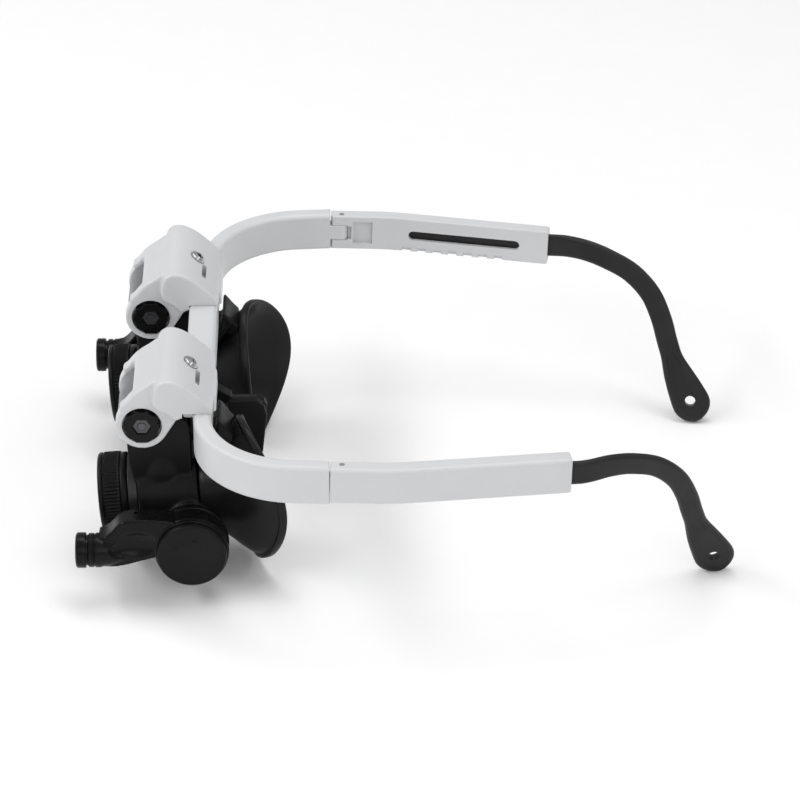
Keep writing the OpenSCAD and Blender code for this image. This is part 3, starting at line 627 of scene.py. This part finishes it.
def make_arm():
    """The curved arm from the battery drum to the lamp head, hollowed on its outer face."""
    bm = bmesh.new()
    add_prism(bm, [(y, z + LAMP_Z) for y, z in ARM], 50.4, 57.2)
    add_spindle(bm, [(-65.4, 4.7), (-62, 4.4), (-58, 3.0)], HEAD_AXIS, 48)
    obj = new_object("arm", bm)
    hollow = bmesh.new()
    add_ball(hollow, (60.4, -54.2, LAMP_Z + 2.6), (4.6, 8.4, 5.6))
    cut(obj, hollow)
    melt(obj, 0.3, 9)
    rooms = bmesh.new()
    add_rod(rooms, LAMP_R - 0.5, 40, 70, LAMP_Y, LAMP_Z, 96)
    add_spindle(rooms, [(-74, HEAD_ROOM), (-64, HEAD_ROOM)], HEAD_AXIS, 48)
    add_spindle(rooms, [(0, 0.55), (5, 0.55)], Matrix.Translation((52.6, -54.6, LAMP_Z + 8.5)), 24)
    cut(obj, rooms)
    shade(obj, 50)
    return obj


def make_drum():
    """The battery housing, open at its outer end, with an inner floor and a grooved outer edge."""
    x, end = HOUSING_X, HOUSING_END
    profile = [(x, 1.25), (x, 9.7), (x + 0.35, 10.15), (x + 1.0, 10.4), (end - 1.5, 10.42), (end - 1.2, 10.2),
               (end - 0.9, 10.42), (end - 0.2, 10.35), (end, 10.1), (end, HOUSING_WALL),
               (x + 1.2, HOUSING_WALL), (x + 1.2, 1.25)]
    return turned("drum", profile, DRUM_AXIS, 128)


def make_neck():
    """The stepped neck that the lamp head turns on."""
    profile = [(4.3, HEAD_ROOM), (4.3, 4.5), (4.5, 4.78), (5.7, 4.85), (5.9, 4.6), (6.2, 4.6), (6.4, 4.88),
               (7.6, 4.9), (8.6, 4.6), (8.6, HEAD_ROOM)]
    return turned("neck", [(HEAD_FRONT + y, r) for y, r in profile], HEAD_AXIS, 96)


def make_head():
    """The smooth switch ring at the tip of the lamp."""
    profile = [(0.8, 3.4), (0.8, 4.4), (0.95, 4.75), (1.3, 5.02), (3.3, 5.05), (3.65, 4.9), (3.7, 4.35),
               (4.2, 4.3), (4.2, HEAD_ROOM), (1.4, HEAD_ROOM), (1.4, 3.4)]
    return turned("head", [(HEAD_FRONT + y, r) for y, r in profile], HEAD_AXIS, 96)


def make_cap():
    """The battery cover: a flat face with a rounded edge and two small pointer marks."""
    bm = bmesh.new()
    add_spindle(bm, [(56.5, 8.4), (57.55, 8.4), (57.55, 9.7), (57.7, 9.85), (58.7, 9.85), (59.15, 9.7),
                     (59.4, 9.4), (59.5, 9.05)], DRUM_AXIS, 128)
    obj = new_object("cap", bm, 35)
    marks = bmesh.new()
    for y, z, turn in ((-4.4, 2.6, 0.0), (1.2, 5.4, 1.2)):
        spot = Matrix.Translation((59.3, LAMP_Y + y, LAMP_Z + z)) @ Matrix.Rotation(turn, 4, "X")
        add_prism(marks, [(-0.8, 0.9), (0.7, 0.0), (-0.8, -0.9), (-0.35, 0.0)], 0, 2, spot)
    cut(obj, marks)
    return obj


def make_mount():
    """The fixed drum between the loupe and the tilting housing."""
    profile = [(44.2, 1.2), (44.2, 7.7), (45.6, 7.8), (46.9, 8.1), (47.9, 8.8), (48.6, 9.6), (49.1, 10.05),
               (49.5, 10.2), (49.85, 10.1), (50.0, 9.9), (50.0, 1.2)]
    return turned("mount", profile, DRUM_AXIS, 128)


for make, name, body, slot, node in (
        (make_arm, "lamp_arm_{}", "lamp_{}", "black_gloss", "lamp_housing_{}"),
        (make_drum, "lamp_drum_{}", "lamp_{}", "black_gloss", None),
        (make_neck, "lamp_neck_{}", "lamp_{}", "black_gloss", None),
        (make_head, "lamp_ring_{}", "lamp_switch_{}", "black_gloss", "lamp_head_{}"),
        (make_cap, "lamp_cover_{}", "cap_{}", "black_plastic", "battery_cap_{}"),
        (make_mount, "lamp_base_{}", "loupe_{}", "black_gloss", "lamp_mount_{}")):
    put_pair(make(), name, body, slot, node)


# ---- Temples ----
TEMPLE_TURN, BEND_Y, BEND_REACH = math.radians(9), 18.0, 5.0
TEMPLE = temple_place(1)
SLIDE = TEMPLE @ Matrix.Translation((0, BEND_Y, 0)) @ Matrix.Rotation(TEMPLE_TURN, 4, "Z")
REAR_LENGTH = (66 - BEND_Y) / math.cos(TEMPLE_TURN)

SLEEVE_T, SLEEVE_H, SLEEVE_EDGE, COVER_X = 4.8, 11.0, 1.15, -1.3
SWING_R, PIN_R = 3.15, 0.79
SLOT_START, SLOT_END, SLOT_R = 7.5, 38.5, 1.5
NOTCHES, NOTCH_START, NOTCH_PITCH, NOTCH_WIDTH, NOTCH_DEPTH = 7, 4.2, 4.7, 2.6, 1.4

TIP_PATH = [(66.4, 66.7, -1.6), (65.4, 71.5, -1.4), (62.6, 77.5, -1.5), (59.5, 83.7, -2.8),
            (56.3, 90.7, -5.8), (53.4, 96.4, -11.4), (50.7, 99.7, -18.4), (48.4, 101.7, -25.4),
            (46, 104.3, -33.2), (42.9, 109.1, -43.5)]
TIP_STEPS = 8
TIP_T, TIP_H, WAIST, PADDLE_T, PADDLE_R = 2.2, 7.2, 0.45, 3.0, 5.8
PADDLE_DISH = 0.28
HOLE_BACK, HOLE_R, HOLE_RIM = 0.8, 1.6, 2.05


def sleeve_body():
    """The whole outer form of a sleeve: a rounded oblong that bends inward once."""
    # x, y, heading, and how far the section is drawn in across and in height to round the ends
    stations = [(0, 0.05, 0.0, 0.96, 0.985)] + [(0, y, 0.0, 1, 1) for y in (0.35, 6, 11)]
    radius = BEND_REACH / math.tan(TEMPLE_TURN / 2)
    for k in range(13):
        a = TEMPLE_TURN * k / 12
        stations.append((-radius * (1 - math.cos(a)), BEND_Y - BEND_REACH + radius * math.sin(a), a, 1, 1))
    for k, across, high in ((10, 1, 1), (20, 1, 1), (30, 1, 1), (40, 1, 1), (REAR_LENGTH - 0.6, 1, 1),
                            (REAR_LENGTH - 0.25, 0.97, 0.985), (REAR_LENGTH, 0.9, 0.955)):
        x, y = -k * math.sin(TEMPLE_TURN), BEND_Y + k * math.cos(TEMPLE_TURN)
        stations.append((x, y, TEMPLE_TURN, across, high))
    section = round_section(SLEEVE_T, SLEEVE_H, SLEEVE_EDGE, 6, 0.4)
    bm = bmesh.new()
    add_rings(bm, [[TEMPLE @ Vector((x + u * across * math.cos(a), y + u * across * math.sin(a), v * high))
                    for u, v in section] for x, y, a, across, high in stations])
    return bm


def make_sleeve():
    """A sleeve's outer shell, with the room for the hinge tongue, the tip and its cover."""
    obj = new_object("sleeve", sleeve_body())
    rooms = bmesh.new()
    add_box(rooms, (-5, -1, -2.45), (1.35, 5.15, 2.45), TEMPLE)
    add_box(rooms, (-4, 6.7, -3.6), (-1.1, 12.6, 3.7), TEMPLE)
    cut(obj, rooms)
    rooms = bmesh.new()
    add_box(rooms, (-4, 5.0, -2.2), (-0.9, 6.2, 2.2), TEMPLE)
    corner = [(PIN_X, -1)] + arc(PIN_X, PIN_Y, SWING_R, -90, -180, 16) + [(-6, PIN_Y), (-6, -1)]
    add_slab(rooms, corner, -9, 9, TEMPLE)
    cut(obj, rooms)
    bevel(obj, 0.12, 55)
    rooms = bmesh.new()
    add_spindle(rooms, [(-9, PIN_R), (9, PIN_R)], TEMPLE @ Matrix.Translation((PIN_X, PIN_Y, 0)), 40)
    add_box(rooms, (-9, 1.2, -9), (COVER_X, 80, 9), SLIDE)
    cut(obj, rooms)
    rooms = bmesh.new()
    add_box(rooms, (COVER_X - 1, 3, -3.8), (1.2, 80, 3.8), SLIDE)
    cut(obj, rooms)
    shade(obj, 35)
    return obj


def make_cover():
    """The inner face of a sleeve, with the long slot and the notches under it."""
    obj = new_object("cover", sleeve_body())
    rooms = bmesh.new()
    slot = arc(SLOT_END, 0, SLOT_R, -90, 90, 18) + arc(SLOT_START, 0, SLOT_R, 90, 270, 18)
    add_prism(rooms, slot, -9, 9, SLIDE)
    for k in range(NOTCHES):
        y = NOTCH_START + NOTCH_PITCH * k
        add_box(rooms, (-9, y, -9), (9, y + NOTCH_WIDTH, NOTCH_DEPTH - SLEEVE_H / 2), SLIDE)
    cut(obj, rooms)
    for low, high in (((COVER_X - 0.02, -30, -9), (9, 80, 9)), ((-20, -30, -9), (9, 1.205, 9))):
        rooms = bmesh.new()
        add_box(rooms, low, high, SLIDE)
        cut(obj, rooms)
    shade(obj, 35)
    return obj


def tip_section(centre, heading, half_w, half_t, dish=0.0):
    """A flat oblong with half-round edges, its faces sunk by dish between the edges."""
    b = (Vector((1, 0, 0)) - heading.x * heading).normalized()
    w = heading.cross(b)
    ring = []
    flat = half_w - half_t
    for e in (1, -1):
        ring += [centre + e * (u * w + v * b) for u, v in arc(flat, 0, half_t, -90, 90, 8)]
        for k in (0.9, 0.78, 0.5, 0, -0.5, -0.78, -0.9):
            sink = dish if abs(k) < 0.8 else 0.0
            ring.append(centre + e * flat * k * w + e * (half_t - sink) * b)
    return ring


def make_tip():
    """The thin stiff tip: straight in the sleeve, then curved down to a dished paddle with a hole."""
    line = spline(TIP_PATH, TIP_STEPS)
    last = len(line) - 1
    along = (SLIDE.to_3x3() @ Vector((0, 1, 0))).normalized()
    rings = [tip_section(SLIDE @ Vector((0, y, 0)), along, TIP_H / 2, TIP_T / 2)
             for y in (4.5, 20, 34, REAR_LENGTH - 0.5)]
    for i in range(TIP_STEPS // 2, last + 1):
        t = i / last
        heading = (line[min(last, i + 1)] - line[max(0, i - 1)]).normalized()
        flare = (PADDLE_R + WAIST - TIP_H / 2) * smooth((t - 0.82) / 0.18)
        half_w = TIP_H / 2 - WAIST * smooth(t / 0.6) + flare
        half_t = TIP_T / 2 + (PADDLE_T - TIP_T) / 2 * smooth((t - 0.55) / 0.3)
        rings.append(tip_section(line[i], heading, half_w, half_t, PADDLE_DISH * smooth((t - 0.7) / 0.2)))
    end = (Vector(TIP_PATH[-1]) - Vector(TIP_PATH[-3])).normalized()
    for k in range(1, 11):
        a = math.radians(86 * k / 10)
        half_w = max(PADDLE_R * math.cos(a), PADDLE_T / 2 + 0.05)
        half_t = PADDLE_T / 2 * (1 if k < 9 else 0.92 if k < 10 else 0.7)
        centre = line[last] + end * PADDLE_R * math.sin(a)
        rings.append(tip_section(centre, end, half_w, half_t, PADDLE_DISH if k < 7 else 0.0))
    bm = bmesh.new()
    add_rings(bm, rings)
    obj = new_object("tip", bm, 50)
    across = (Vector((1, 0, 0)) - end.x * end).normalized()
    turn = across.to_track_quat("Z", "Y").to_matrix().to_4x4()
    spot = Matrix.Translation(line[last] - HOLE_BACK * end) @ turn
    hole = bmesh.new()
    bore = [(-4, 2.1), (-1.5, HOLE_RIM), (-1.05, HOLE_R), (1.05, HOLE_R), (1.5, HOLE_RIM), (4, 2.1)]
    add_spindle(hole, bore, spot, 48)
    cut(obj, hole)
    shade(obj, 40)
    return obj


put_pair(make_sleeve(), "temple_sleeve_{}_skin", "temple_{}", "white_plastic", "temple_sleeve_{}")
put_pair(make_cover(), "sleeve_cover_{}_skin", "temple_{}", "white_plastic", "sleeve_cover_{}")
put_pair(make_tip(), "temple_tip_{}_skin", "tip_{}", "soft_black", "temple_tip_{}", "tip_black")


# ---- Pieces that keep the CAD shape, with softer edges ----
# CAD node, body, material slot, finish, edge width
TURNED_EDGES = (
    ("flip_barrel_", "loupe_", "grey_metal", "grey_metal", 0.3),
    ("flip_knob_", "knob_", "black_gloss", "black_gloss", 0.15),
    ("flip_nut_", "knob_", "dark_steel", "worn_steel", 0.18),
    ("tube_collar_", "loupe_", "collar_metal", "collar_metal", 0.25),
    ("loupe_tube_", "loupe_", "black_plastic", "black_plastic", 0.2),
    ("friction_screw_", "bracket_body_", "chrome", "chrome", 0.08),
)
for node, body, slot, finish, width in TURNED_EDGES:
    for name, side in SIDES:
        obj = from_node(node + name + "_edged", node + name)
        bevel(obj, width, 35)
        shade(obj, 35)
        put(obj, body + name, slot, node + name, finish=finish)

# CAD node, material slot, remesh size, smoothing passes, crease angle
MOULDED_EDGES = (
    ("nose_bracket", "black_plastic", 0.22, 4, 50),
    ("nose_saddle", "soft_black", 0.25, 5, 60),
)
for node, slot, voxel, passes, crease in MOULDED_EDGES:
    obj = from_node(node + "_skin", node)
    melt(obj, voxel, passes)
    shade(obj, crease)
    put(obj, "frame", slot, node)

# CAD nodes that stay as they are take their slot's material, except the darker hinge bolts
SLOTS = {s["node"]: s["material_slot"] for s in frame["record"]["subparts"]}
SLOTS.update({"flip_bolt_left": "dark_steel", "flip_bolt_right": "dark_steel"})
for node, obj in frame["nodes"].items():
    if not obj.hide_render:
        for s in obj.material_slots:
            s.material = MATERIALS[SLOTS[node]]
        shade(obj, 35)


# ---- Studio ----
FLOOR_HALF = 3.0
WORLD_LIGHT = 0.5
LIGHT_AIM = Vector((0, 0, 0.03))
# Name, place in metres, size in metres, power in watts
LIGHTS = (
    ("key", (0.15, -0.75, 0.75), (1.2, 0.14), 4.6),
    ("fill", (1.0, 0.25, 0.6), (0.8, 0.6), 1.9),
    ("top", (-0.1, 0.1, 1.1), (0.9, 0.3), 3.4),
    ("rim", (0.1, 0.8, 0.7), (1.2, 0.14), 1.2),
)
# The view is from the wearer's left, a third of the way up and far off
ELEVATION, SWING, DISTANCE = math.radians(30.36), math.radians(-0.75), 1.1511
CAMERA_AIM = TO_ROW @ Vector((0, 20.1, -16.8))
LENS = 178.1

scene = bpy.context.scene


def make_floor():
    bm = bmesh.new()
    corners = ((-1, -1), (1, -1), (1, 1), (-1, 1))
    bm.faces.new([bm.verts.new((x * FLOOR_HALF, y * FLOOR_HALF, 0)) for x, y in corners])
    obj = new_object("floor", bm)
    obj.data.materials.append(material("floor", (0.97, 0.97, 0.97), 0.85, grain=0.1, mottle=0.004))


def make_world():
    world = bpy.data.worlds.new("studio")
    world.use_nodes = True
    background = world.node_tree.nodes["Background"]
    background.inputs[0].default_value = (1.0, 1.0, 1.0, 1)
    background.inputs[1].default_value = WORLD_LIGHT
    scene.world = world


def aimed(name, data, at, direction):
    """A light or camera in the scene that looks along the direction."""
    obj = bpy.data.objects.new(name, data)
    obj.location = at
    obj.rotation_mode = "QUATERNION"
    obj.rotation_quaternion = direction.to_track_quat("-Z", "Y")
    scene.collection.objects.link(obj)
    return obj


def make_light(name, at, size, power):
    light = bpy.data.lights.new(name, "AREA")
    light.shape = "RECTANGLE"
    light.size, light.size_y = size
    light.energy = power
    aimed(name, light, at, LIGHT_AIM - Vector(at))


def make_camera():
    camera = bpy.data.cameras.new("camera")
    camera.sensor_width = 36
    camera.lens = LENS
    camera.clip_end = 20
    back = Vector((math.cos(ELEVATION) * math.cos(SWING), math.cos(ELEVATION) * math.sin(SWING),
                   math.sin(ELEVATION)))
    scene.camera = aimed("camera", camera, CAMERA_AIM + back * DISTANCE, -back)


make_floor()
make_world()
for light in LIGHTS:
    make_light(*light)
make_camera()
scene.view_settings.view_transform = "Standard"
